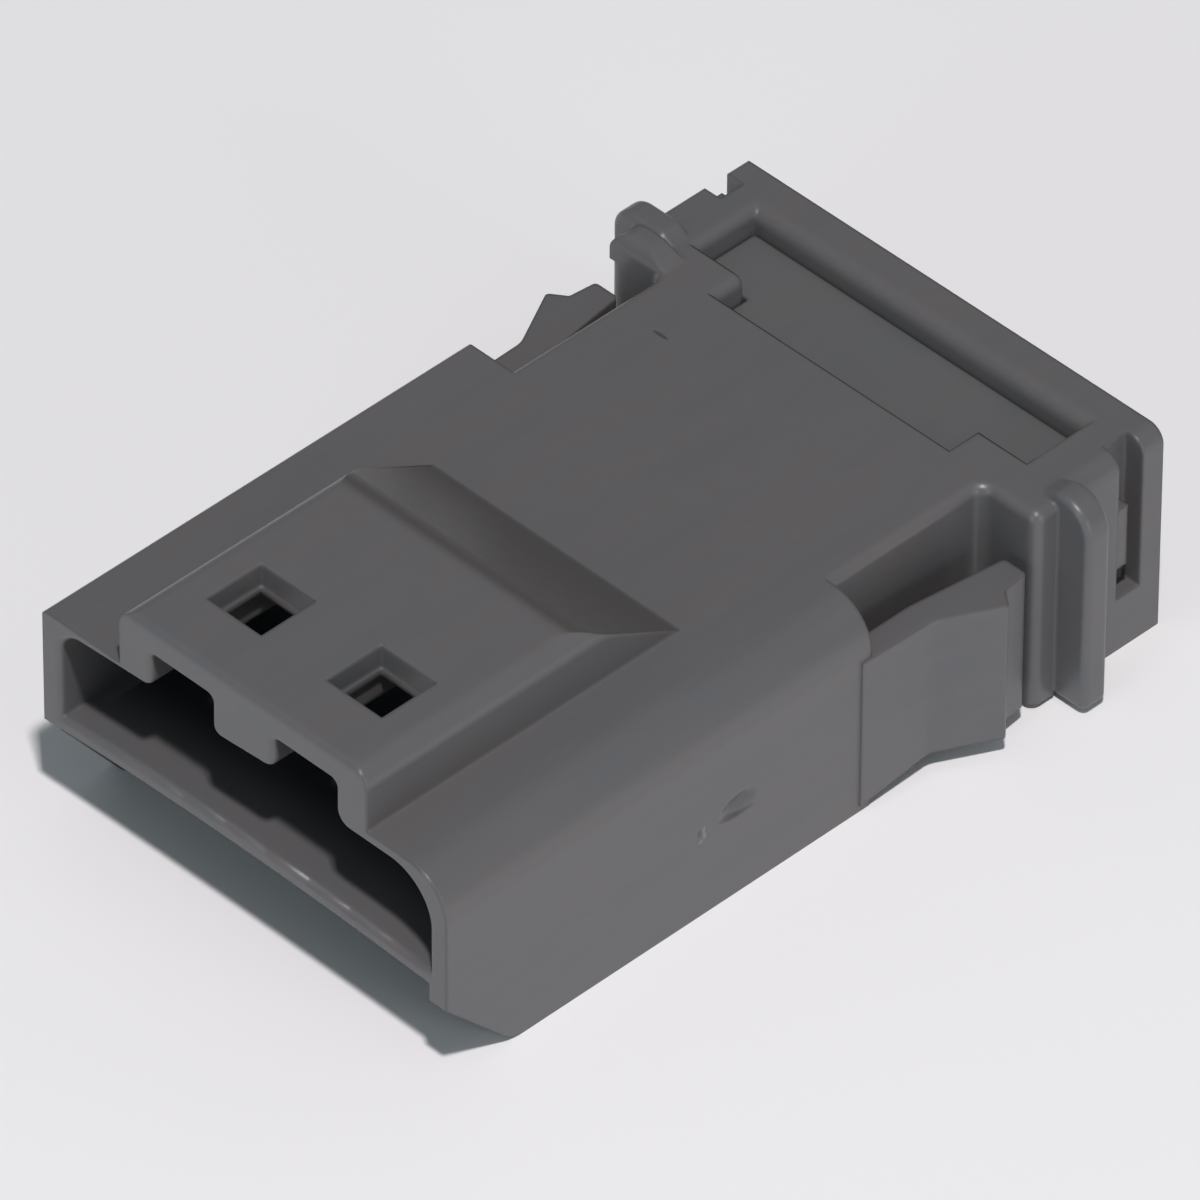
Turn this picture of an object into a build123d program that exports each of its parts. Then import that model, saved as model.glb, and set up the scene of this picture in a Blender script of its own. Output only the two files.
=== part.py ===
"""Flat plug housing of grey moulded plastic with two side snap arms and a sliding lock plate at the rear.

Millimetres, +Z up. X runs across the mouth, Y from the mouth (front) to the rear, and the
origin is at the middle of the outer box on its underside.
"""
import os

from build123d import *

# Main body
BODY_WIDTH = 23.6
BODY_LENGTH = 40.8
BODY_TOP = 10.6
WALL = 1.0
LEFT_CORNER_RADIUS = 0.25
RIGHT_CORNER_RADIUS = 2.2
HOOD_BOTTOM = 4.7
HOOD_ARCH = 0.38

# Lengths of the block behind the side pockets and of the pockets themselves
REAR_BLOCK_LENGTH = 7.8
POCKET_LENGTH = 8.85
POCKET_END = BODY_LENGTH - REAR_BLOCK_LENGTH
POCKET_START = POCKET_END - POCKET_LENGTH

# Side walls that stand below the hood
RIGHT_SKIRT_FRONT = 3.85
SKIRT_SLOPE_RUN = 3.7
SKIRT_CORNER_RADIUS = 1.5

# Mouth
MOUTH_DEPTH = 12.5
MOUTH_ROOF_LEFT = 0.55
MOUTH_ROOF_RIGHT = 0.6
HOOD_FLOOR = 0.68
MOUTH_CEILING_LEFT = BODY_TOP - MOUTH_ROOF_LEFT
MOUTH_CEILING_RIGHT = BODY_TOP - MOUTH_ROOF_RIGHT
MOUTH_FLOOR = HOOD_BOTTOM + HOOD_FLOOR
MOUTH_LEFT_RADIUS = 1.3
MOUTH_RIGHT_RADIUS = 2.3
LIP_RADIUS = 0.25
KEYWAY_SPACING = 7.2
KEYWAY_WIDTH = 3.6
KEYWAY_COVER = 1.45
KEYWAY_CORNER_RADIUS = 0.3
OUTER_LOBE_ROOF = 0.27
OUTER_LOBE_RADIUS = 0.45
OUTER_LOBE_BOTTOM = BODY_TOP - OUTER_LOBE_ROOF
TONGUE_ROOF_LEFT = 0.4
TONGUE_ROOF_RIGHT = 0.15
TONGUE_BOTTOM_LEFT = BODY_TOP - TONGUE_ROOF_LEFT
TONGUE_BOTTOM_RIGHT = BODY_TOP - TONGUE_ROOF_RIGHT
TONGUE_RADIUS_LEFT = 0.5
TONGUE_RADIUS_RIGHT = 0.6
RIGHT_LOBE_RADIUS = 0.8

# Raised pad on the top over the two keyways
PAD_WIDTH = 14.4
PAD_RISE = 3.0
PAD_FLAT_LENGTH = 12.2
PAD_FOOT_LENGTH = 17.7
PAD_EDGE_RADIUS = 0.9
PAD_CREST_RADIUS = 3.0
PAD_FRONT_RADIUS = 0.35
KEYWAY_ROOF = BODY_TOP + PAD_RISE - KEYWAY_COVER

# Square windows through the pad
WINDOW_WIDTH = 3.2
WINDOW_LENGTH = 3.05
WINDOW_SPACING = 7.0
WINDOW_START = 2.9
WINDOW_STEP = 0.12
WINDOW_STEP_DEPTH = 1.12

# Core between the side pockets
POCKET_DEPTH = 2.45
CORE_WIDTH = BODY_WIDTH - 2 * POCKET_DEPTH
BULKHEAD = 1.1
POCKET_RIM_RADIUS = 0.45
POCKET_CORNER_RADIUS = 0.6

# Dish left by the moulding gate in the right side
GATE_AT = 16.5
GATE_HEIGHT = 4.8
GATE_LENGTH = 2.1
GATE_WIDTH = 1.1
GATE_DEPTH = 0.18
GATE_TILT = 10

# Snap arms, with the reach of each point past the body's side
ARM_TOP_RIGHT = 8.12
ARM_TOP_LEFT = 8.55
ARM_BOTTOM = 0.95
ARM_ROOT_BOTTOM = 0.35
ARM_CORE_GAP = 1.3
ARM_ROOT_REACH = 0.1
ARM_KNEE_REACH = 0.2
ARM_CREST_REACH = 1.75
ARM_HOOK_REACH = 0.95
ARM_TIP_REACH = 0.8
ARM_TIP_THICKNESS = 1.3
ARM_KNEE_RUN = 3.25
ARM_CREST_RUN = 6.23
ARM_HOOK_RUN = 6.8
ARM_TIP_GAP = 0.65
ARM_INNER = CORE_WIDTH / 2 + ARM_CORE_GAP
ARM_ROOT_OUTER = BODY_WIDTH / 2 + ARM_ROOT_REACH
ARM_KNEE_OUTER = BODY_WIDTH / 2 + ARM_KNEE_REACH
ARM_CREST_OUTER = BODY_WIDTH / 2 + ARM_CREST_REACH
ARM_HOOK_OUTER = BODY_WIDTH / 2 + ARM_HOOK_REACH
ARM_TIP_OUTER = BODY_WIDTH / 2 + ARM_TIP_REACH
ARM_TIP_INNER = ARM_TIP_OUTER - ARM_TIP_THICKNESS
ARM_KNEE_AT = POCKET_START + ARM_KNEE_RUN
ARM_CREST_AT = POCKET_START + ARM_CREST_RUN
ARM_HOOK_AT = POCKET_START + ARM_HOOK_RUN
ARM_TIP_AT = POCKET_END - ARM_TIP_GAP
ARM_EDGE_RADIUS = 0.2
ARM_KNEE_RADIUS = 1.2
ARM_ROOT_EMBED = 0.6

# Flanges
FLANGE_BOTTOM = 0.25
FRONT_FLANGE_REACH = 0.65
FRONT_FLANGE_THICKNESS = 1.3
FRONT_FLANGE_CORNER_RADIUS = 0.5
FRONT_HUMP_RISE = 0.45
FRONT_HUMP_LENGTH = 1.9
FRONT_HUMP_RAMP = 1.3
FRONT_HUMP_CORNER_RADIUS = 0.9
FRONT_HUMP_CREST_RADIUS = 1.0
FRONT_HUMP_FACE_RADIUS = 0.7
REAR_FLANGE_LEFT_REACH = 1.85
REAR_FLANGE_RIGHT_REACH = 2.4
REAR_FLANGE_RISE = 0.45
REAR_FLANGE_TOP = BODY_TOP + REAR_FLANGE_RISE
REAR_FLANGE_THICKNESS = 1.35
REAR_FLANGE_LEFT_RADIUS = 1.1
REAR_FLANGE_RIGHT_RADIUS = 1.6
REAR_FLANGE_LEFT_HUMP = 2.8
REAR_FLANGE_RIGHT_HUMP = 1.95
REAR_FLANGE_LEFT_RAMP = 0.6
REAR_FLANGE_RIGHT_RAMP = 0.9
REAR_FLANGE_RAMP_RADIUS = 0.4
REAR_FLANGE_FACE_RADIUS = 0.3
FLANGE_LOW_RADIUS = 0.4

# Rear frame
FRAME_REACH = 0.35
FRAME_WIDTH = BODY_WIDTH + 2 * FRAME_REACH
FRAME_LEFT_RADIUS = 0.15
FRAME_RIGHT_RADIUS = 0.8
FRAME_LOW_OPENING_WIDTH = 15.0
FRAME_LOW_BAR = 1.3

# Slots in the two sides of the rear frame
SLOT_REAR_BAR = 1.2
SLOT_LENGTH = 1.4
SLOT_END = BODY_LENGTH - SLOT_REAR_BAR
SLOT_START = SLOT_END - SLOT_LENGTH
SLOT_DEPTH = 1.0
SLOT_BOTTOM = 2.85
SLOT_BLOCK_LENGTH = 0.85
SLOT_BLOCK_SET_BACK = 0.25
SLOT_BLOCK_BOTTOM = 4.2
SLOT_BLOCK_TOP_RIGHT = 7.4
SLOT_BLOCK_TOP_LEFT = 9.95

# Lock plate
PLATE_SINK = 1.2
PLATE_THICKNESS = 0.95
PLATE_GAP = 0.08
PLATE_SEAT_GAP = 0.05
TOOTH_WIDTH = 1.2
TOOTH_LENGTH = 1.8
TOOTH_GAP = 0.08
PLATE_EDGE_RADIUS = 0.12

# Well for the lock plate
WELL_REAR_BAR = 2.1
WELL_LENGTH = 5.05
WELL_NARROW_LENGTH = 1.7
WELL_END = BODY_LENGTH - WELL_REAR_BAR
WELL_START = WELL_END - WELL_LENGTH
WELL_WING_START = WELL_START + WELL_NARROW_LENGTH
WELL_SHOULDER = 5.0
WELL_WING_SHOULDER = 2.2
WELL_WIDTH = BODY_WIDTH - 2 * WELL_SHOULDER
WELL_WING_WIDTH = BODY_WIDTH - 2 * WELL_WING_SHOULDER
WELL_FLOOR_DROP = 3.3
WELL_LEDGE = BODY_TOP - PLATE_SINK - PLATE_THICKNESS - PLATE_SEAT_GAP
WELL_FLOOR = BODY_TOP - WELL_FLOOR_DROP
WELL_FAR_RIM_RADIUS = 0.7
WELL_LEFT_RIM_RADIUS = 0.5
WELL_NEAR_RIM_RADIUS = 0.3

# Row of pin cavities
CAVITY_COUNT = 8
CAVITY_PITCH = 2.1
CAVITY_WIDTH = 1.6
CAVITY_HEIGHT = 2.0
CAVITY_RISE = 2.32
CAVITY_MIDDLE = MOUTH_FLOOR + CAVITY_RISE
PIN_HOLE = 1.0
INNER_WALL = 1.4

# Small over-run of each cut past the face it opens in
CLEAR = 0.5


def box_between(low, high):
    """Block between two corner points."""
    size = [high[i] - low[i] for i in range(3)]
    middle = [(high[i] + low[i]) / 2 for i in range(3)]
    return Pos(*middle) * Box(*size)


def rounded_face(corners):
    """Flat outline through (x, y, radius) corners, each rounded by its own radius."""
    outline = make_face(Polyline(*[(x, y) for x, y, _ in corners], close=True))
    for x, y, radius in corners:
        if radius > 0:
            corner = outline.vertices().sort_by_distance((x, y, 0))[0]
            outline = fillet(corner, radius)
    return outline


def across(outline, start, end):
    """Outline drawn in X and Z, carried along Y from start to end."""
    plane = Plane(origin=(0, start, 0), x_dir=(1, 0, 0), z_dir=(0, -1, 0))
    return extrude(plane * outline, amount=-(end - start))


def along(outline, left, right):
    """Outline drawn in Y and Z, carried along X from left to right."""
    plane = Plane(origin=(left, 0, 0), x_dir=(0, 1, 0), z_dir=(1, 0, 0))
    return extrude(plane * outline, amount=right - left)


def arched_slab(half_width, end_height, rise, top):
    """Outline with a level top and an underside arched up by the given rise."""
    left = (-half_width, end_height)
    right = (half_width, end_height)
    arch = ThreePointArc(left, (0, end_height + rise), right)
    rest = Polyline(right, (half_width, top), (-half_width, top), left)
    return make_face([arch, rest])


def hood():
    """Front block of the body, sharp at its left top edge and well rounded at its right one."""
    half = BODY_WIDTH / 2
    outline = rounded_face([
        (-half, 0, 0),
        (half, 0, 0),
        (half, BODY_TOP, RIGHT_CORNER_RADIUS),
        (-half, BODY_TOP, LEFT_CORNER_RADIUS),
    ])
    outline &= arched_slab(half, HOOD_BOTTOM, HOOD_ARCH, BODY_TOP + CLEAR)
    return across(outline, 0, POCKET_START)


def skirt(side, front_height):
    """Thin side wall below the hood whose lower front edge slopes back to the underside."""
    half = BODY_WIDTH / 2
    outline = rounded_face([
        (0, front_height, 0),
        (SKIRT_SLOPE_RUN, 0, SKIRT_CORNER_RADIUS),
        (POCKET_START, 0, 0),
        (POCKET_START, HOOD_BOTTOM + WALL, 0),
        (0, HOOD_BOTTOM + WALL, 0),
    ])
    inner = half - WALL
    return along(outline, inner, half) if side > 0 else along(outline, -half, -inner)


def pad():
    """Raised pad that falls away in a slope at its rear."""
    half = PAD_WIDTH / 2
    top = BODY_TOP + PAD_RISE
    section = rounded_face([
        (-half, BODY_TOP - WALL, 0),
        (half, BODY_TOP - WALL, 0),
        (half, top, PAD_EDGE_RADIUS),
        (-half, top, PAD_EDGE_RADIUS),
    ])
    slope = (PAD_FOOT_LENGTH - PAD_FLAT_LENGTH) / PAD_RISE
    side = rounded_face([
        (0, BODY_TOP - WALL, 0),
        (PAD_FOOT_LENGTH + slope * WALL, BODY_TOP - WALL, 0),
        (PAD_FLAT_LENGTH, top, PAD_CREST_RADIUS),
        (0, top, PAD_FRONT_RADIUS),
    ])
    return across(section, 0, PAD_FOOT_LENGTH + slope * WALL) & along(side, -half, half)


def deck():
    """Core between the side pockets with the front flange, one soft rim running round both pockets."""
    half = CORE_WIDTH / 2
    reach = BODY_WIDTH / 2 + FRONT_FLANGE_REACH
    start = POCKET_START - BULKHEAD
    end = POCKET_END + FRONT_FLANGE_THICKNESS
    plan = rounded_face([
        (-half, start, 0),
        (half, start, 0),
        (half, POCKET_END, POCKET_CORNER_RADIUS),
        (reach, POCKET_END, FRONT_FLANGE_CORNER_RADIUS),
        (reach, end, 0),
        (-reach, end, 0),
        (-reach, POCKET_END, FRONT_FLANGE_CORNER_RADIUS),
        (-half, POCKET_END, POCKET_CORNER_RADIUS),
    ])
    block = Pos(0, 0, FLANGE_BOTTOM) * extrude(plan, amount=BODY_TOP - FLANGE_BOTTOM)
    top_edges = block.faces().sort_by(Axis.Z)[-1].edges()
    block = fillet([edge for edge in top_edges if abs(edge.center().X) > half / 2], POCKET_RIM_RADIUS)
    inner = half - WALL
    return block - box_between((-inner, start - CLEAR, 0), (inner, POCKET_END, HOOD_BOTTOM))


def pocket_walls():
    """Side walls of the core down to the underside, with the bulkheads that carry the snap arms."""
    half = CORE_WIDTH / 2
    start = POCKET_START - BULKHEAD
    walls = []
    for side in (-1, 1):
        inner, outer = sorted((side * half, side * (half - WALL)))
        walls.append(box_between((inner, start, 0), (outer, POCKET_END + CLEAR, HOOD_BOTTOM + WALL)))
        inner, outer = sorted((side * (BODY_WIDTH / 2), side * (half - WALL)))
        walls.append(box_between((inner, start, 0), (outer, POCKET_START, HOOD_BOTTOM + WALL)))
    return walls


def snap_arm(side, top):
    """Springy arm that ramps outward to a crest, hooks back and ends in a short straight tongue."""
    start = POCKET_START - ARM_ROOT_EMBED
    plan = rounded_face([
        (ARM_INNER, start, 0),
        (ARM_ROOT_OUTER, start, 0),
        (ARM_KNEE_OUTER, ARM_KNEE_AT, ARM_KNEE_RADIUS),
        (ARM_CREST_OUTER, ARM_CREST_AT, ARM_EDGE_RADIUS),
        (ARM_HOOK_OUTER, ARM_HOOK_AT, ARM_EDGE_RADIUS),
        (ARM_TIP_OUTER, ARM_TIP_AT, ARM_EDGE_RADIUS),
        (ARM_TIP_INNER, ARM_TIP_AT, ARM_EDGE_RADIUS),
        (ARM_INNER, ARM_KNEE_AT, ARM_KNEE_RADIUS),
    ])
    arm = extrude(plan, amount=top)
    elevation = rounded_face([
        (start, ARM_ROOT_BOTTOM, 0),
        (ARM_KNEE_AT, ARM_BOTTOM, 0),
        (ARM_TIP_AT + CLEAR, ARM_BOTTOM, 0),
        (ARM_TIP_AT + CLEAR, top, 0),
        (start, top, 0),
    ])
    arm &= along(elevation, 0, BODY_WIDTH)
    return arm if side > 0 else mirror(arm, about=Plane.YZ)


def front_hump():
    """Soft raised left end of the front flange."""
    left = -BODY_WIDTH / 2 - FRONT_FLANGE_REACH
    low = BODY_TOP - WALL
    top = BODY_TOP + FRONT_HUMP_RISE
    crest = left + FRONT_HUMP_LENGTH
    foot = crest + FRONT_HUMP_RAMP
    end = POCKET_END + FRONT_FLANGE_THICKNESS
    outline = rounded_face([
        (left, low, 0),
        (foot, low, 0),
        (foot, BODY_TOP, 0),
        (crest, top, FRONT_HUMP_CREST_RADIUS),
        (left, top, FRONT_HUMP_CORNER_RADIUS),
    ])
    side = rounded_face([
        (POCKET_END, low, 0),
        (end, low, 0),
        (end, top, 0),
        (POCKET_END, top, FRONT_HUMP_FACE_RADIUS),
    ])
    return across(outline, POCKET_END, end) & along(side, left, foot)


def rear_flange():
    """Cross plate that stands a little above the main top at its two ends only."""
    left = BODY_WIDTH / 2 + REAR_FLANGE_LEFT_REACH
    right = BODY_WIDTH / 2 + REAR_FLANGE_RIGHT_REACH
    outline = rounded_face([
        (-left, FLANGE_BOTTOM, FLANGE_LOW_RADIUS),
        (right, FLANGE_BOTTOM, FLANGE_LOW_RADIUS),
        (right, REAR_FLANGE_TOP, REAR_FLANGE_RIGHT_RADIUS),
        (right - REAR_FLANGE_RIGHT_HUMP, REAR_FLANGE_TOP, REAR_FLANGE_RAMP_RADIUS),
        (right - REAR_FLANGE_RIGHT_HUMP - REAR_FLANGE_RIGHT_RAMP, BODY_TOP, REAR_FLANGE_RAMP_RADIUS),
        (-left + REAR_FLANGE_LEFT_HUMP + REAR_FLANGE_LEFT_RAMP, BODY_TOP, REAR_FLANGE_RAMP_RADIUS),
        (-left + REAR_FLANGE_LEFT_HUMP, REAR_FLANGE_TOP, REAR_FLANGE_RAMP_RADIUS),
        (-left, REAR_FLANGE_TOP, REAR_FLANGE_LEFT_RADIUS),
    ])
    start = POCKET_END + FRONT_FLANGE_THICKNESS
    plate = across(outline, start, start + REAR_FLANGE_THICKNESS)
    for place in (0, -1):
        plate = fillet(plate.faces().sort_by(Axis.Y)[place].edges(), REAR_FLANGE_FACE_RADIUS)
    return plate


def rear_frame():
    """Deep rear block with an opening through its lower half."""
    half = FRAME_WIDTH / 2
    outline = rounded_face([
        (-half, 0, 0),
        (half, 0, 0),
        (half, BODY_TOP, FRAME_RIGHT_RADIUS),
        (-half, BODY_TOP, FRAME_LEFT_RADIUS),
    ])
    start = POCKET_END + FRONT_FLANGE_THICKNESS
    block = across(outline, start, BODY_LENGTH)
    low = FRAME_LOW_OPENING_WIDTH / 2
    block -= box_between((-low, 0, FRAME_LOW_BAR), (low, BODY_LENGTH + CLEAR, HOOD_BOTTOM))
    return block


def side_slots():
    """Cuts for the two side slots, open at the top."""
    half = FRAME_WIDTH / 2
    cuts = []
    for side in (-1, 1):
        edges = sorted((side * (half - SLOT_DEPTH), side * (half + CLEAR)))
        cuts.append(box_between((edges[0], SLOT_START, SLOT_BOTTOM), (edges[1], SLOT_END, BODY_TOP + CLEAR)))
    return cuts


def slot_blocks():
    """Short blocks that stand in the side slots against their front walls."""
    half = FRAME_WIDTH / 2
    blocks = []
    for side, top in ((-1, SLOT_BLOCK_TOP_LEFT), (1, SLOT_BLOCK_TOP_RIGHT)):
        edges = sorted((side * (half - SLOT_DEPTH - CLEAR), side * (half - SLOT_BLOCK_SET_BACK)))
        low = (edges[0], SLOT_START - CLEAR, SLOT_BLOCK_BOTTOM)
        high = (edges[1], SLOT_START + SLOT_BLOCK_LENGTH, top)
        blocks.append(box_between(low, high))
    return blocks


def mouth_outline():
    """Mouth outline in X and Z: two keyways in the ceiling and an arched floor."""
    half = BODY_WIDTH / 2 - WALL
    outer = (KEYWAY_SPACING + KEYWAY_WIDTH) / 2
    inner = (KEYWAY_SPACING - KEYWAY_WIDTH) / 2
    outline = rounded_face([
        (-half, HOOD_BOTTOM - CLEAR, 0),
        (-half, MOUTH_CEILING_LEFT, MOUTH_LEFT_RADIUS),
        (-outer, OUTER_LOBE_BOTTOM, OUTER_LOBE_RADIUS),
        (-outer, KEYWAY_ROOF, KEYWAY_CORNER_RADIUS),
        (-inner, KEYWAY_ROOF, KEYWAY_CORNER_RADIUS),
        (-inner, TONGUE_BOTTOM_LEFT, TONGUE_RADIUS_LEFT),
        (inner, TONGUE_BOTTOM_RIGHT, TONGUE_RADIUS_RIGHT),
        (inner, KEYWAY_ROOF, KEYWAY_CORNER_RADIUS),
        (outer, KEYWAY_ROOF, KEYWAY_CORNER_RADIUS),
        (outer, MOUTH_CEILING_RIGHT, RIGHT_LOBE_RADIUS),
        (half, MOUTH_CEILING_RIGHT, MOUTH_RIGHT_RADIUS),
        (half, HOOD_BOTTOM - CLEAR, 0),
    ])
    outline &= arched_slab(half, MOUTH_FLOOR, HOOD_ARCH, BODY_TOP + PAD_RISE)
    return outline


def round_lip(body):
    """Soft edge all round the mouth."""
    lip = body.faces().filter_by(Axis.Y).sort_by(Axis.Y)[0]
    return fillet(lip.inner_wires()[0].edges(), LIP_RADIUS)


def windows():
    """Cuts for the two square windows, each with a narrow ledge at its left and rear sides."""
    cuts = []
    top = BODY_TOP + PAD_RISE
    for centre in (-WINDOW_SPACING / 2, WINDOW_SPACING / 2):
        left = centre - WINDOW_WIDTH / 2
        right = centre + WINDOW_WIDTH / 2
        end = WINDOW_START + WINDOW_LENGTH
        cuts.append(box_between((left, WINDOW_START, top - WINDOW_STEP_DEPTH), (right, end, top + CLEAR)))
        low = (left + WINDOW_STEP, WINDOW_START, KEYWAY_ROOF - CLEAR)
        cuts.append(box_between(low, (right, end - WINDOW_STEP, top)))
    return cuts


def cavity_centres():
    """Places of the pin cavities across the body."""
    first = -(CAVITY_COUNT - 1) * CAVITY_PITCH / 2
    return [first + i * CAVITY_PITCH for i in range(CAVITY_COUNT)]


def cavities():
    """Cuts for the row of pin cavities with their smaller front holes."""
    cuts = []
    half = CAVITY_WIDTH / 2
    low = CAVITY_MIDDLE - CAVITY_HEIGHT / 2
    high = CAVITY_MIDDLE + CAVITY_HEIGHT / 2
    hole = PIN_HOLE / 2
    shoulder = MOUTH_DEPTH + INNER_WALL
    for x in cavity_centres():
        cuts.append(box_between((x - half, shoulder, low), (x + half, BODY_LENGTH + CLEAR, high)))
        cuts.append(box_between((x - hole, MOUTH_DEPTH - CLEAR, CAVITY_MIDDLE - hole),
                                (x + hole, shoulder + CLEAR, CAVITY_MIDDLE + hole)))
    return cuts


def well():
    """Cuts for the well in the rear top that takes the lock plate."""
    narrow = WELL_WIDTH / 2
    wide = WELL_WING_WIDTH / 2
    top = BODY_TOP + CLEAR
    return [
        box_between((-narrow, WELL_START, WELL_LEDGE), (narrow, WELL_END, top)),
        box_between((-wide, WELL_WING_START, WELL_FLOOR), (wide, WELL_END, top)),
    ]


def rim_edge(body, place, axis):
    """Edge of the body along an axis that lies nearest to a place."""
    return body.edges().filter_by(axis).sort_by_distance(place)[0]


def round_well_rim(body):
    """Rounds on the top edges of the well, larger at its far and left sides."""
    narrow = WELL_WIDTH / 2
    wide = WELL_WING_WIDTH / 2
    wing = (narrow + wide) / 2
    middle = (WELL_WING_START + WELL_END) / 2
    shallow = (WELL_START + WELL_WING_START) / 2
    body = fillet(rim_edge(body, (0, WELL_END, BODY_TOP), Axis.X), WELL_FAR_RIM_RADIUS)
    left = [
        rim_edge(body, (-wide, middle, BODY_TOP), Axis.Y),
        rim_edge(body, (-narrow, shallow, BODY_TOP), Axis.Y),
    ]
    body = fillet(left, WELL_LEFT_RIM_RADIUS)
    near = [
        rim_edge(body, (0, WELL_START, BODY_TOP), Axis.X),
        rim_edge(body, (narrow, shallow, BODY_TOP), Axis.Y),
        rim_edge(body, (wing, WELL_WING_START, BODY_TOP), Axis.X),
        rim_edge(body, (-wing, WELL_WING_START, BODY_TOP), Axis.X),
        rim_edge(body, (wide, middle, BODY_TOP), Axis.Y),
    ]
    return fillet(near, WELL_NEAR_RIM_RADIUS)


def gate_dish():
    """Cut for the shallow oval dish left by the gate in the right side."""
    reach = (GATE_LENGTH ** 2 / 4 + GATE_DEPTH ** 2) / (2 * GATE_DEPTH)
    tube = (GATE_WIDTH ** 2 / 4 + GATE_DEPTH ** 2) / (2 * GATE_DEPTH)
    place = Pos(BODY_WIDTH / 2 - GATE_DEPTH + reach, GATE_AT, GATE_HEIGHT)
    return place * Rot(GATE_TILT, 0, 0) * Torus(reach - tube, tube)


def housing():
    """Whole housing, one moulding."""
    body = hood() + skirt(1, RIGHT_SKIRT_FRONT) + skirt(-1, HOOD_BOTTOM)
    body += pad()
    body += deck()
    for wall in pocket_walls():
        body += wall
    body += snap_arm(1, ARM_TOP_RIGHT)
    body += snap_arm(-1, ARM_TOP_LEFT)
    body += front_hump()
    body += rear_frame()
    body += rear_flange()
    for cut in side_slots():
        body -= cut
    for block in slot_blocks():
        body += block
    body -= across(mouth_outline(), 0, MOUTH_DEPTH)
    for cut in windows() + cavities() + well():
        body -= cut
    body -= gate_dish()
    return round_lip(round_well_rim(body))


def lock_plate():
    """T-shaped plate with a row of teeth that drop into the pin cavities."""
    narrow = WELL_WIDTH / 2 - PLATE_GAP
    wide = WELL_WING_WIDTH / 2 - PLATE_GAP
    start = WELL_START + PLATE_GAP
    wing = WELL_WING_START + PLATE_GAP
    end = WELL_END - PLATE_GAP
    top = BODY_TOP - PLATE_SINK
    outline = rounded_face([
        (-narrow, start, 0),
        (narrow, start, 0),
        (narrow, wing, 0),
        (wide, wing, 0),
        (wide, end, 0),
        (-wide, end, 0),
        (-wide, wing, 0),
        (-narrow, wing, 0),
    ])
    bottom = top - PLATE_THICKNESS
    plate = Pos(0, 0, bottom) * extrude(outline, amount=PLATE_THICKNESS)
    plate = fillet(plate.faces().sort_by(Axis.Z)[-1].edges(), PLATE_EDGE_RADIUS)
    floor = WELL_FLOOR + TOOTH_GAP
    for x in cavity_centres():
        low = (x - TOOTH_WIDTH / 2, end - TOOTH_LENGTH, floor)
        high = (x + TOOTH_WIDTH / 2, end, bottom + PLATE_THICKNESS / 2)
        plate += box_between(low, high)
    return plate


def main():
    os.makedirs("parts", exist_ok=True)
    centre = Pos((REAR_FLANGE_LEFT_REACH - REAR_FLANGE_RIGHT_REACH) / 2, -BODY_LENGTH / 2, 0)
    export_step(centre * housing(), "parts/housing.step")
    export_step(centre * lock_plate(), "parts/secondary_lock.step")


main()
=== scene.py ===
"""Grey moulded plug housing with its lock plate, dressed for a soft studio picture.

Metres throughout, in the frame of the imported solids: X across the mouth, Y from the mouth to the
rear, Z up, with the housing resting on Z = 0. Places and reaches in the finishes are millimetres
of that same frame.
"""

import logging
import math
from dataclasses import dataclass, field
from typing import Any

import bpy
from mathutils import Matrix, Vector


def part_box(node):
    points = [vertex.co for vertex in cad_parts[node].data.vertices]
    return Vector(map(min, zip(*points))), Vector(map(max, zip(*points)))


MM = 0.001
MICROMETRE = 1e-6
REFRACTION = 1.5
EDGE_SAMPLES = 6
NOISE_MEAN = 0.5
SENSOR_WIDTH = 36.0

Triple = tuple[float, float, float]
Colour = tuple[float, float, float, float]

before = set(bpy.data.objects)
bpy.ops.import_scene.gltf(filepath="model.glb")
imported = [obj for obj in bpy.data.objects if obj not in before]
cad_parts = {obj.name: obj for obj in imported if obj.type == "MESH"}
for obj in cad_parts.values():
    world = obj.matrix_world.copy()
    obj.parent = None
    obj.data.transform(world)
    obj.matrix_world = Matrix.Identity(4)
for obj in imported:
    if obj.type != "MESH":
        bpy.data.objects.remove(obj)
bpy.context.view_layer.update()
log = logging.getLogger("plug_housing")


def deselect_all() -> None:
    """Leaves nothing selected, so that the next operator acts on its own piece only."""
    if bpy.context.object is not None and bpy.context.object.mode != "OBJECT":
        bpy.ops.object.mode_set(mode="OBJECT")
    bpy.ops.object.select_all(action="DESELECT")


def linear(red: int, green: int, blue: int) -> Colour:
    """Turns a screen colour into the linear one that shaders use.

    Args:
        red: Red from 0 to 255.
        green: Green from 0 to 255.
        blue: Blue from 0 to 255.

    Returns:
        The linear colour with full alpha.
    """
    def one(value: int) -> float:
        """Gives one channel in linear light."""
        share = value / 255
        return share / 12.92 if share <= 0.04045 else ((share + 0.055) / 1.055) ** 2.4
    return one(red), one(green), one(blue), 1.0


def towards(azimuth: float, elevation: float) -> Vector:
    """Gives the direction in which a lamp or the camera stands.

    Args:
        azimuth: Degrees round the housing, 0 in front of the mouth and 90 on its right.
        elevation: Degrees above the table.

    Returns:
        The direction, of length 1, away from the housing.
    """
    turn, rise = math.radians(azimuth), math.radians(elevation)
    return Vector((math.sin(turn) * math.cos(rise), -math.cos(turn) * math.cos(rise),
                   math.sin(rise)))


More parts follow.
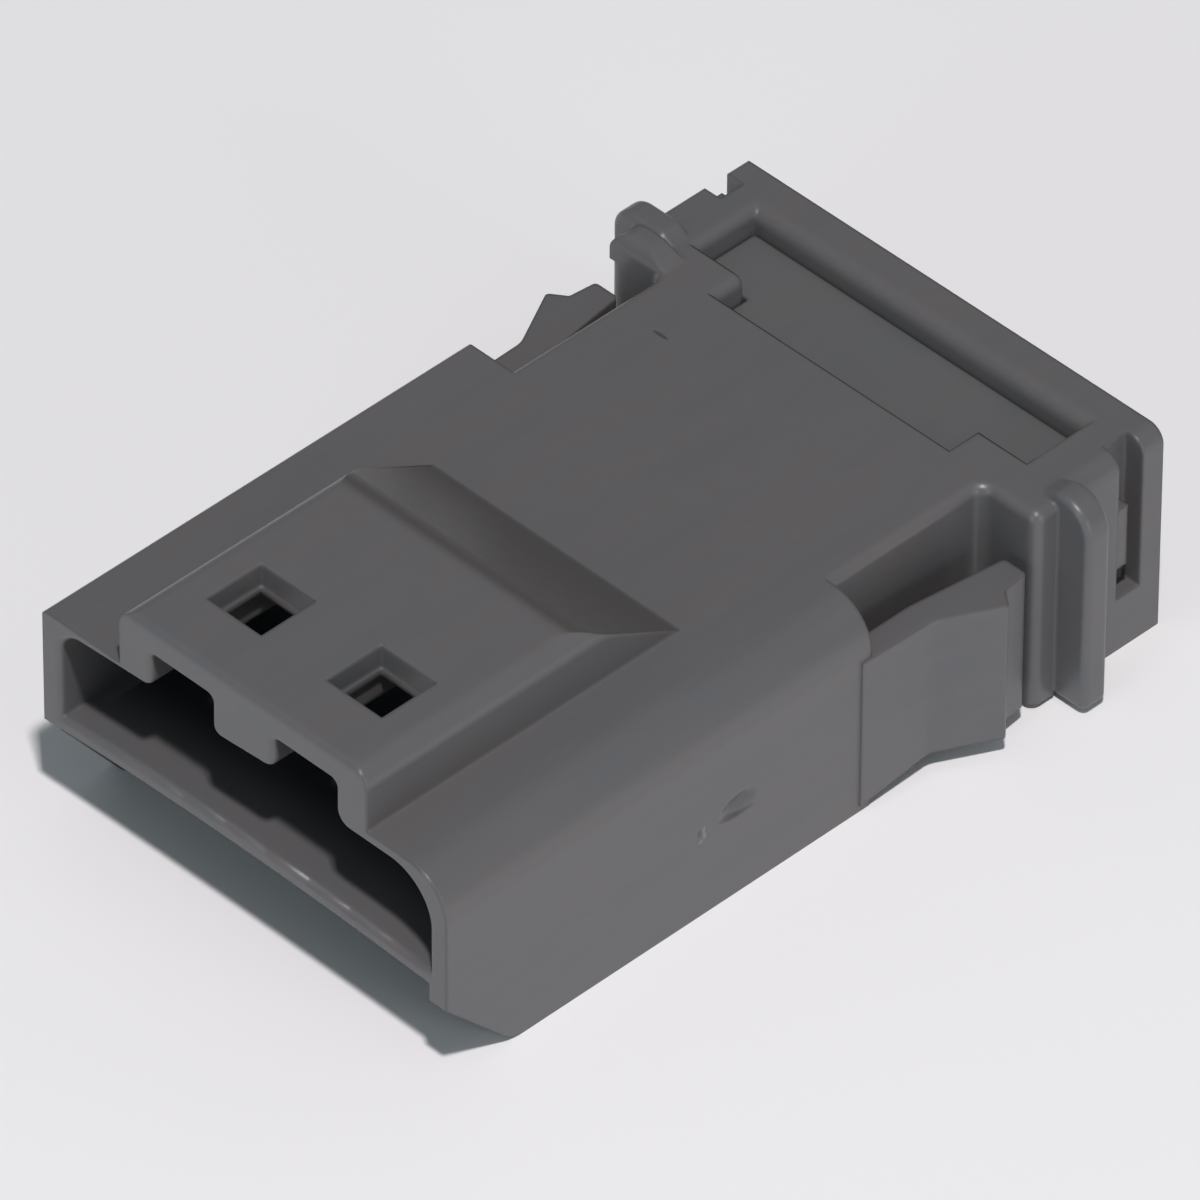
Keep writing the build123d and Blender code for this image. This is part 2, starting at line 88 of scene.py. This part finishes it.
class Signal:
    """One output of a shader node, on which maths reads as plain expressions."""

    def __init__(self, graph: "ShaderGraph", socket: bpy.types.NodeSocket) -> None:
        """Keeps the output and the graph it belongs to.

        Args:
            graph: Graph that new Math nodes are added to.
            socket: Output socket that this signal stands for.
        """
        self.graph = graph
        self.socket = socket

    def __add__(self, other: Any) -> "Signal":
        """Adds another signal or number."""
        return self.graph.math("ADD", self, other)

    def __radd__(self, other: Any) -> "Signal":
        """Adds this signal to a number."""
        return self.graph.math("ADD", other, self)

    def __sub__(self, other: Any) -> "Signal":
        """Takes another signal or number away."""
        return self.graph.math("SUBTRACT", self, other)

    def __rsub__(self, other: Any) -> "Signal":
        """Takes this signal away from a number."""
        return self.graph.math("SUBTRACT", other, self)

    def __mul__(self, other: Any) -> "Signal":
        """Multiplies by another signal or number."""
        return self.graph.math("MULTIPLY", self, other)

    def __rmul__(self, other: Any) -> "Signal":
        """Multiplies a number by this signal."""
        return self.graph.math("MULTIPLY", other, self)

    def ramp(self, low: float, high: float, to_low: float = 0.0, to_high: float = 1.0) -> "Signal":
        """Maps a stretch of values smoothly onto another one.

        Args:
            low: Value that becomes to_low.
            high: Value that becomes to_high.
            to_low: Result at and below low.
            to_high: Result at and above high.

        Returns:
            The mapped signal.
        """
        return self.graph.make(
            "ShaderNodeMapRange",
            {"interpolation_type": "SMOOTHSTEP", "clamp": True},
            {"Value": self, "From Min": low, "From Max": high,
             "To Min": to_low, "To Max": to_high},
        ).out("Result")


@dataclass
class Node:
    """A shader node made by a graph, with easy access to its outputs.

    Attributes:
        graph: Graph that the node stands in.
        node: The node itself.
    """

    graph: "ShaderGraph"
    node: bpy.types.Node

    def out(self, name: str | int = 0) -> Signal:
        """Gives the named or numbered output as a signal."""
        return Signal(self.graph, self.node.outputs[name])


class ShaderGraph:
    """Builds the node tree of one material or of the room."""

    def __init__(self, owner: bpy.types.Material | bpy.types.World) -> None:
        """Starts with an empty node tree.

        Args:
            owner: Material or world that the tree belongs to.
        """
        owner.use_nodes = True
        self.owner = owner
        self.tree = owner.node_tree
        self.tree.nodes.clear()

    def make(self, kind: str, settings: dict[str, Any] | None = None,
             inputs: dict[str | int, Any] | None = None) -> Node:
        """Adds a node of any kind.

        Args:
            kind: Blender's type name of the node.
            settings: Properties, which are set before the sockets.
            inputs: Values or signals for the sockets, by name or number.

        Returns:
            The new node.
        """
        node = self.tree.nodes.new(kind)
        for key, value in (settings or {}).items():
            setattr(node, key, value)
        for key, value in (inputs or {}).items():
            if isinstance(value, Signal):
                self.tree.links.new(value.socket, node.inputs[key])
            else:
                node.inputs[key].default_value = value
        return Node(self, node)

    def math(self, operation: str, first: Any, second: Any = 0.0) -> Signal:
        """Adds a Math node.

        Args:
            operation: Its operation.
            first: First value or signal.
            second: Second value or signal.

        Returns:
            The result.
        """
        return self.make("ShaderNodeMath", {"operation": operation}, {0: first, 1: second}).out()

    def vector(self, operation: str, first: Any, second: Any = (0.0, 0.0, 0.0)) -> Node:
        """Adds a Vector Math node.

        Args:
            operation: Its operation.
            first: First vector or signal.
            second: Second vector or signal.

        Returns:
            The new node.
        """
        return self.make("ShaderNodeVectorMath", {"operation": operation}, {0: first, 1: second})

    def mix(self, share: Any, first: Any, second: Any) -> Signal:
        """Mixes two colours.

        Args:
            share: How much of the second colour shows, from 0 to 1.
            first: First colour or signal.
            second: Second colour or signal.

        Returns:
            The mixed colour.
        """
        node = self.make("ShaderNodeMix", {"data_type": "RGBA", "clamp_factor": True},
                         {0: share, 6: first, 7: second})
        return node.out(2)

    def millimetres(self) -> Signal:
        """Gives the place on the piece in millimetres of its own frame."""
        place = self.make("ShaderNodeTexCoord").out("Object")
        return self.vector("MULTIPLY", place, (1 / MM, 1 / MM, 1 / MM)).out()

    def soft_edges(self, radius: float) -> Signal:
        """Gives normals that lean over each edge, as on a moulding with slightly round edges.

        Args:
            radius: Radius of the rounds in millimetres.

        Returns:
            The normals.
        """
        rounds = self.make("ShaderNodeBevel", {"samples": EDGE_SAMPLES}, {"Radius": radius * MM})
        return rounds.out("Normal")

    def finish(self, colour: Any, roughness: Any, specular: float,
               relief: Signal | None = None, normal: Signal | None = None) -> bpy.types.Material:
        """Closes the tree with a Principled shader.

        Args:
            colour: Colour or signal of the surface.
            roughness: Roughness or signal.
            specular: Specular level.
            relief: Relief in micrometres, or None for a smooth surface.
            normal: Normals that the relief lies on, or None for the mesh's own.

        Returns:
            The finished material.
        """
        inputs = {"Base Color": colour, "Roughness": roughness,
                  "Specular IOR Level": specular, "IOR": REFRACTION}
        if relief is not None:
            bump = {"Strength": 1.0, "Distance": MICROMETRE, "Height": relief}
            if normal is not None:
                bump["Normal"] = normal
            inputs["Normal"] = self.make("ShaderNodeBump", {}, bump).out("Normal")
        shader = self.make("ShaderNodeBsdfPrincipled", {}, inputs)
        self.make("ShaderNodeOutputMaterial", {}, {"Surface": shader.out("BSDF")})
        return self.owner


@dataclass(frozen=True)
class Pattern:
    """A noise pattern of the skin.

    Attributes:
        per_mm: Its grains in a millimetre.
        detail: Its number of finer layers.
        rough: Share that each finer layer keeps.
    """

    per_mm: float
    detail: float
    rough: float

    def signal(self, graph: ShaderGraph, place: Signal) -> Signal:
        """Adds the pattern to a graph.

        Args:
            graph: Graph of the material.
            place: Place in millimetres, stretched or not.

        Returns:
            The pattern, which is NOISE_MEAN on average.
        """
        node = graph.make("ShaderNodeTexNoise", {"noise_dimensions": "3D"},
                          {"Vector": place, "Scale": self.per_mm,
                           "Detail": self.detail, "Roughness": self.rough})
        return node.out(0)


@dataclass(frozen=True)
class NickOrPaintedLightSpot:
    """A small nick or scrape cut into the skin of the moulding, or a spot of painted shade or
    painted highlight on it.

    Attributes:
        place: Its middle.
        reach: Its half size along X, Y and Z.
        depth: How deep it is cut, in micrometres.
        tone: Its brightness as a multiple of the plastic's; for the spots of painted shade or
            highlight, this is the painted light.
        core: Share of the reach over which it is at full strength.
        cover: How much of its tone shows in the middle.
    """

    place: Triple
    reach: Triple
    depth: float
    tone: float
    core: float = 0.45
    cover: float = 0.8

    def strength(self, graph: ShaderGraph, place: Signal) -> Signal:
        """Gives how strongly the mark shows.

        Args:
            graph: Graph of the material.
            place: Place in millimetres.

        Returns:
            1 in the middle of the mark, falling to 0 at its edge.
        """
        away = graph.vector("SUBTRACT", place, self.place).out()
        share = graph.vector("DIVIDE", away, self.reach).out()
        return graph.vector("LENGTH", share).out("Value").ramp(self.core, 1.0, 1.0, 0.0)

    def colour(self, base: Colour) -> Colour:
        """Gives the mark's colour on plastic of the given one."""
        return tuple(min(1.0, c * self.tone) for c in base[:3]) + (1.0,)


@dataclass(frozen=True)
class PaintedShadeZone:
    """A stretch of the moulding with painted shade in its colour, in a box with soft sides.

    Attributes:
        low: Lower corner of the box.
        high: Upper corner of the box.
        fade: Depth over which the tone fades in along X, Y and Z.
        tone: Colour of the painted shade.
        share: How much of the tone shows.
        facing: Direction of the faces that take the tone, or None for all faces.
        facing_ramp: Likeness to that direction at which the tone starts and is full.
    """

    low: Triple
    high: Triple
    fade: Triple
    tone: Colour
    share: float = 1.0
    facing: Triple | None = None
    facing_ramp: tuple[float, float] = (0.2, 0.45)

    def strength(self, graph: ShaderGraph, place: Signal) -> Signal:
        """Gives how strongly the zone's tone shows.

        Args:
            graph: Graph of the material.
            place: Place in millimetres.

        Returns:
            The zone's share inside it, falling to 0 over the fade at its sides.
        """
        parts = graph.make("ShaderNodeSeparateXYZ", {}, {"Vector": place})
        shown: Any = self.share
        for axis, (low, high, fade) in enumerate(zip(self.low, self.high, self.fade)):
            inside = parts.out(axis).ramp(low, low + fade)
            shown = inside * shown * parts.out(axis).ramp(high - fade, high, 1.0, 0.0)
        if self.facing is not None:
            normal = graph.make("ShaderNodeNewGeometry").out("Normal")
            turned = graph.vector("DOT_PRODUCT", normal, self.facing).out("Value")
            shown = shown * turned.ramp(*self.facing_ramp)
        return shown


@dataclass(frozen=True)
class MouldedPlastic:
    """Satin grey moulded plastic with flow streaks, sink waves and a fine spark-eroded grain.

    Attributes:
        name: Name of the material.
        base: Its main colour.
        warm: Colour of the warmer streaks.
        cool: Colour of the cooler streaks.
        roughness: Its mean roughness.
        specular: Its specular level.
        flow: Shortening of the streaks' pattern along X, Y and Z.
        streaks: Pattern of the flow streaks.
        streak_span: Values of that pattern that give the warm and the cool colour.
        mottle: Pattern of the cloudy patches.
        mottle_span: Values of that pattern that give the least and the most streaking.
        mottle_share: How much the streaks show at those two values.
        waves: Pattern of the sink waves.
        grain: Pattern of the spark-eroded grain.
        grain_depth: Height of the grain in micrometres.
        mottle_to_grain: Height of the patches as a multiple of the grain's.
        wave_depth: Height of the waves in micrometres.
        mottle_gloss: Change of roughness over the patches.
        grain_gloss: Change of roughness over the grain.
        edge_radius: Radius that the soft edges seem to have, in millimetres.
        nicks_and_painted_light: Nicks cut in as relief, and spots of painted shade and painted
            highlight.
        painted_shade_zones: Stretches with painted shade.
    """

    name: str
    base: Colour
    warm: Colour
    cool: Colour
    roughness: float = 0.33
    specular: float = 0.5
    flow: Triple = (1.0, 0.16, 1.0)
    streaks: Pattern = Pattern(0.55, 3.0, 0.55)
    streak_span: tuple[float, float] = (0.32, 0.68)
    mottle: Pattern = Pattern(1.3, 3.0, 0.6)
    mottle_span: tuple[float, float] = (0.3, 0.7)
    mottle_share: tuple[float, float] = (0.25, 0.75)
    waves: Pattern = Pattern(0.16, 1.0, 0.4)
    grain: Pattern = Pattern(9.0, 2.0, 0.6)
    grain_depth: float = 1.4
    mottle_to_grain: float = 1.2
    wave_depth: float = 6.0
    mottle_gloss: float = 0.10
    grain_gloss: float = 0.06
    edge_radius: float = 0.26
    nicks_and_painted_light: tuple[NickOrPaintedLightSpot, ...] = ()
    painted_shade_zones: tuple[PaintedShadeZone, ...] = ()

    def material(self) -> bpy.types.Material:
        """Builds the material.

        Returns:
            The finished material.
        """
        g = ShaderGraph(bpy.data.materials.new(self.name))
        place = g.millimetres()
        streaks = self.streaks.signal(g, g.vector("MULTIPLY", place, self.flow).out())
        mottle = self.mottle.signal(g, place)
        tint = g.mix(streaks.ramp(*self.streak_span), self.warm, self.cool)
        body = g.mix(mottle.ramp(*self.mottle_span, *self.mottle_share), self.base, tint)
        patches = mottle - NOISE_MEAN
        waves = self.waves.signal(g, place) - NOISE_MEAN
        grain = self.grain.signal(g, place) - NOISE_MEAN
        height = grain * self.grain_depth + waves * self.wave_depth
        height = height + patches * (self.grain_depth * self.mottle_to_grain)
        roughness = self.roughness + patches * self.mottle_gloss + grain * self.grain_gloss
        # Painted shade: each zone darkens the colour inside its box.
        for zone in self.painted_shade_zones:
            body = g.mix(zone.strength(g, place), body, zone.tone)
        # Nicks add relief; their colour also lays painted shade and painted highlights.
        for mark in self.nicks_and_painted_light:
            strength = mark.strength(g, place)
            body = g.mix(strength * mark.cover, body, mark.colour(self.base))
            height = height - strength * mark.depth
        return g.finish(body, roughness, self.specular, height, g.soft_edges(self.edge_radius))


@dataclass(frozen=True)
class PaleTable:
    """Matt white table top.

    Attributes:
        name: Name of the material.
        tone: Its main colour.
        shade: Colour of its faint clouds.
        clouds: Pattern of those clouds.
        roughness: Its roughness.
        specular: Its specular level.
    """

    name: str = "pale_table"
    tone: Colour = (0.92, 0.915, 0.92, 1.0)
    shade: Colour = (0.90, 0.895, 0.90, 1.0)
    clouds: Pattern = Pattern(0.02, 3.0, 0.5)
    roughness: float = 0.75
    specular: float = 0.2

    def material(self) -> bpy.types.Material:
        """Builds the material.

        Returns:
            The finished material.
        """
        g = ShaderGraph(bpy.data.materials.new(self.name))
        colour = g.mix(self.clouds.signal(g, g.millimetres()), self.tone, self.shade)
        return g.finish(colour, self.roughness, self.specular)


@dataclass
class EdgeBreaking:
    """Live modifiers that give a CAD mesh the small rounds of a real moulding.

    Attributes:
        width: Width of the rounds in millimetres.
        angle: Least angle of an edge that is rounded, in degrees.
        segments: Faces across a round.
        join_within: Distance in millimetres within which corners are joined.
        flat_within: Angle in degrees within which faces count as one flat.
    """

    width: float = 0.1
    angle: float = 28.0
    segments: int = 2
    join_within: float = 0.002
    flat_within: float = 0.6

    def apply_to(self, piece: bpy.types.Object) -> None:
        """Puts the modifiers on a piece.

        Args:
            piece: CAD node, whose own mesh stays as it is.
        """
        weld = piece.modifiers.new("join_corners", "WELD")
        weld.merge_threshold = self.join_within * MM
        flat = piece.modifiers.new("join_flats", "DECIMATE")
        flat.decimate_type = "DISSOLVE"
        flat.angle_limit = math.radians(self.flat_within)
        rounds = piece.modifiers.new("edge_rounds", "BEVEL")
        rounds.limit_method = "ANGLE"
        rounds.angle_limit = math.radians(self.angle)
        rounds.width = self.width * MM
        rounds.segments = self.segments
        rounds.use_clamp_overlap = True
        rounds.miter_outer = "MITER_ARC"
        rounds.harden_normals = False
        normals = piece.modifiers.new("even_shading", "WEIGHTED_NORMAL")
        normals.keep_sharp = True


@dataclass
class PinHousing:
    """The one-piece moulding: hood, pad, snap arms, flanges and rear frame.

    Attributes:
        node: Its CAD node.
        gate_painted_shade_and_glint: Painted shade in the gate mark's dish and along its lower
            rim, and a painted glint as its bright dot.
        side_nick_painted_highlight_and_shade: Curved nick in front of the gate mark, cut in as
            relief, with a painted highlight along it and painted shade beside it.
        top_nick: Short scrape on the deck.
        pad_root_painted_shade: Painted shade on the pad's sloped root, on its faces that turn to
            the rear.
        well_rim_painted_shade: Painted shade, nearly black, on the far face of the well's front
            step.
        mouth_painted_shade: Painted shade that darkens the inside of the mouth more the deeper it
            lies.
    """

    node: str = "housing"
    # Painted shade in the gate mark's dish and along its lower rim; the last, brightest spot is a
    # painted glint.
    gate_painted_shade_and_glint: tuple[NickOrPaintedLightSpot, ...] = (
        NickOrPaintedLightSpot((11.525, -3.7, 4.85), (0.5, 1.1, 0.55), 0.0, 0.76),
        NickOrPaintedLightSpot((11.525, -4.6, 4.41), (0.5, 0.55, 0.17), 0.0, 0.6),
        NickOrPaintedLightSpot((11.525, -4.2, 4.3), (0.5, 0.6, 0.16), 0.0, 0.6),
        NickOrPaintedLightSpot((11.525, -3.75, 4.25), (0.5, 0.6, 0.15), 0.0, 0.55),
        NickOrPaintedLightSpot((11.525, -3.35, 4.28), (0.5, 0.5, 0.15), 0.0, 0.6),
        NickOrPaintedLightSpot((11.525, -4.49, 4.98), (0.5, 0.11, 0.15), 0.0, 1.8),
    )
    # Nick cut in as relief; the bright spots are a painted highlight along its rim, the last,
    # darker spot is painted shade beside it.
    side_nick_painted_highlight_and_shade: tuple[NickOrPaintedLightSpot, ...] = (
        NickOrPaintedLightSpot((11.525, -5.84, 4.62), (0.4, 0.13, 0.24), 30.0, 1.75),
        NickOrPaintedLightSpot((11.525, -5.8, 4.28), (0.4, 0.14, 0.24), 30.0, 1.8),
        NickOrPaintedLightSpot((11.525, -6.0, 4.04), (0.4, 0.17, 0.14), 30.0, 1.8),
        NickOrPaintedLightSpot((11.525, -6.12, 4.56), (0.4, 0.15, 0.26), 30.0, 0.6),
    )
    top_nick: NickOrPaintedLightSpot = NickOrPaintedLightSpot((-6.875, 9.8, 10.6), (0.55, 0.12, 0.3), 40.0, 0.45)
    # Painted shade: darkens the pad's sloped root where its faces turn to the rear.
    pad_root_painted_shade: PaintedShadeZone = PaintedShadeZone(
        low=(-10.5, -9.2, 10.5), high=(10.5, -2.2, 14.0), fade=(0.3, 0.5, 0.3),
        tone=linear(73, 70, 68), share=0.95, facing=(0.0, 1.0, 0.0), facing_ramp=(0.06, 0.3))
    # Painted shade: a nearly black line on the far face of the well's front step.
    well_rim_painted_shade: PaintedShadeZone = PaintedShadeZone(
        low=(-10.5, 12.6, 10.15), high=(10.2, 15.4, 10.66), fade=(0.02, 0.02, 0.02),
        tone=linear(16, 15, 16), facing=(-0.55, 0.83, 0.0), facing_ramp=(0.12, 0.45))
    # Painted shade: darkens the inside of the mouth more the deeper it lies.
    mouth_painted_shade: PaintedShadeZone = PaintedShadeZone(
        low=(-10.35, -19.2, 4.9), high=(9.8, -7.0, 10.05), fade=(0.05, 3.5, 0.05),
        tone=linear(40, 41, 43), share=0.9)

    def dress(self) -> bpy.types.Object:
        """Gives the moulding its finish, with painted shade and painted highlights in its colour.

        Returns:
            The dressed node.
        """
        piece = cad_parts[self.node]
        plastic = MouldedPlastic(
            "housing_plastic",
            base=linear(95, 94, 95), warm=linear(99, 95, 94), cool=linear(92, 94, 97),
            nicks_and_painted_light=(*self.gate_painted_shade_and_glint, *self.side_nick_painted_highlight_and_shade, self.top_nick),
            painted_shade_zones=(self.pad_root_painted_shade, self.well_rim_painted_shade, self.mouth_painted_shade),
        ).material()
        piece.data.materials.clear()
        piece.data.materials.append(plastic)
        box = [tuple(round(c / MM, 2) for c in v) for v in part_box(self.node)]
        log.info("%s dressed, box %s", self.node, box)
        return piece


@dataclass
class LockPlate:
    """The T-shaped plate that locks the pins, a separate moulding in the rear well.

    Attributes:
        node: Its CAD node.
        breaking: Its live edge rounds.
    """

    node: str = "secondary_lock"
    breaking: EdgeBreaking = field(default_factory=EdgeBreaking)

    def dress(self) -> bpy.types.Object:
        """Gives the plate its finish and its edge rounds.

        Returns:
            The dressed node.
        """
        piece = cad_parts[self.node]
        plastic = MouldedPlastic(
            "lock_plastic",
            base=linear(95, 95, 96), warm=linear(97, 95, 95), cool=linear(92, 94, 97),
            grain_depth=1.1,
        ).material()
        piece.data.materials.clear()
        piece.data.materials.append(plastic)
        self.breaking.apply_to(piece)
        box = [tuple(round(c / MM, 2) for c in v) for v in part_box(self.node)]
        log.info("%s dressed, box %s", self.node, box)
        return piece


@dataclass(frozen=True)
class SoftLamp:
    """A square studio lamp that points at the housing.

    Attributes:
        name: Name of the lamp.
        azimuth: Degrees round the housing, as for the camera.
        elevation: Degrees above the table.
        away: Distance from the housing in metres.
        size: Length of its side in metres.
        watts: Its power.
        colour: Its colour.
    """

    name: str
    azimuth: float
    elevation: float
    away: float
    size: float
    watts: float
    colour: Triple

    def hang(self, aim: Vector) -> None:
        """Hangs the lamp.

        Args:
            aim: Point that it lights.
        """
        light = bpy.data.lights.new(self.name, "AREA")
        light.shape = "SQUARE"
        light.size = self.size
        light.energy = self.watts
        light.color = self.colour
        lamp = bpy.data.objects.new(self.name, light)
        back = towards(self.azimuth, self.elevation)
        lamp.location = aim + back * self.away
        lamp.rotation_mode = "QUATERNION"
        lamp.rotation_quaternion = (-back).to_track_quat("-Z", "Y")
        bpy.context.scene.collection.objects.link(lamp)


@dataclass
class Studio:
    """Pale table, soft lamps, faint room light and the camera.

    Attributes:
        table_size: Length of the table's side in metres.
        aim: Point that the lamps and the camera look at.
        azimuth: Degrees round the housing at which the camera stands.
        elevation: Degrees of the camera above the table.
        roll: Degrees by which the camera is tilted about its own axis.
        distance: Distance of the camera in metres.
        lens: Its focal length in millimetres.
        shift: Its lens shift.
        clip: Nearest and farthest distance that it sees, in metres.
        lamps: The lamps.
        room_colour: Colour of the light from the room.
        room_strength: Strength of that light.
        backdrop_strength: Strength of the white seen behind the table.
    """

    table_size: float = 4.0
    aim: Triple = (-0.000275, 0.0001, 0.0066)
    azimuth: float = 45.28
    elevation: float = 40.91
    roll: float = 0.32
    distance: float = 0.7389
    lens: float = 540.0
    shift: tuple[float, float] = (-0.00396, -0.00875)
    clip: tuple[float, float] = (0.01, 20.0)
    lamps: tuple[SoftLamp, ...] = (
        SoftLamp("key", 50.0, 66.0, 0.8, 0.05, 4.7, (1.0, 0.955, 0.965)),
        SoftLamp("side_fill", 90.0, 15.0, 0.8, 0.3, 0.95, (0.9, 0.96, 1.0)),
        SoftLamp("front_fill", 10.0, 15.0, 0.8, 0.3, 0.85, (0.68, 0.9, 1.0)),
    )
    room_colour: Colour = (0.88, 0.96, 1.0, 1.0)
    room_strength: float = 0.18
    backdrop_strength: float = 0.95

    def build(self) -> None:
        """Builds the table, the lamps, the room and the camera."""
        self.lay_table()
        for lamp in self.lamps:
            lamp.hang(Vector(self.aim))
        self.light_room()
        self.set_camera()
        log.info("studio built with %d lamps", len(self.lamps))

    def lay_table(self) -> None:
        """Lays the table top under the housing."""
        deselect_all()
        bpy.ops.mesh.primitive_plane_add(size=self.table_size, location=(0, 0, 0))
        top = bpy.context.object
        top.name = "table_top"
        top.data.materials.append(PaleTable().material())

    def light_room(self) -> None:
        """Gives the room its faint cool light and a pale look behind the table."""
        g = ShaderGraph(bpy.data.worlds.new("room"))
        seen = g.make("ShaderNodeLightPath").out("Is Camera Ray")
        dim = g.make("ShaderNodeBackground", {},
                     {"Color": self.room_colour, "Strength": self.room_strength}).out()
        pale = g.make("ShaderNodeBackground", {},
                      {"Color": (1.0, 1.0, 1.0, 1.0), "Strength": self.backdrop_strength}).out()
        either = g.make("ShaderNodeMixShader", {}, {0: seen, 1: dim, 2: pale}).out()
        g.make("ShaderNodeOutputWorld", {}, {"Surface": either})
        bpy.context.scene.world = g.owner
        bpy.context.scene.view_settings.view_transform = "Standard"

    def set_camera(self) -> None:
        """Sets the camera to the angle of the photograph."""
        data = bpy.data.cameras.new("studio_camera")
        data.lens = self.lens
        data.sensor_width = SENSOR_WIDTH
        data.shift_x, data.shift_y = self.shift
        data.clip_start, data.clip_end = self.clip
        camera = bpy.data.objects.new("studio_camera", data)
        back = towards(self.azimuth, self.elevation)
        level = (-back).to_track_quat("-Z", "Y")
        tilt = Matrix.Rotation(math.radians(self.roll), 3, "Z").to_quaternion()
        camera.rotation_mode = "QUATERNION"
        camera.rotation_quaternion = level @ tilt
        camera.location = Vector(self.aim) + back * self.distance
        bpy.context.scene.collection.objects.link(camera)
        bpy.context.scene.camera = camera


def main() -> None:
    """Dresses the housing and its lock plate, then builds the studio."""
    logging.basicConfig(level=logging.INFO, format="%(name)s: %(message)s")
    deselect_all()
    PinHousing().dress()
    LockPlate().dress()
    Studio().build()


if __name__ == "__main__":
    main()
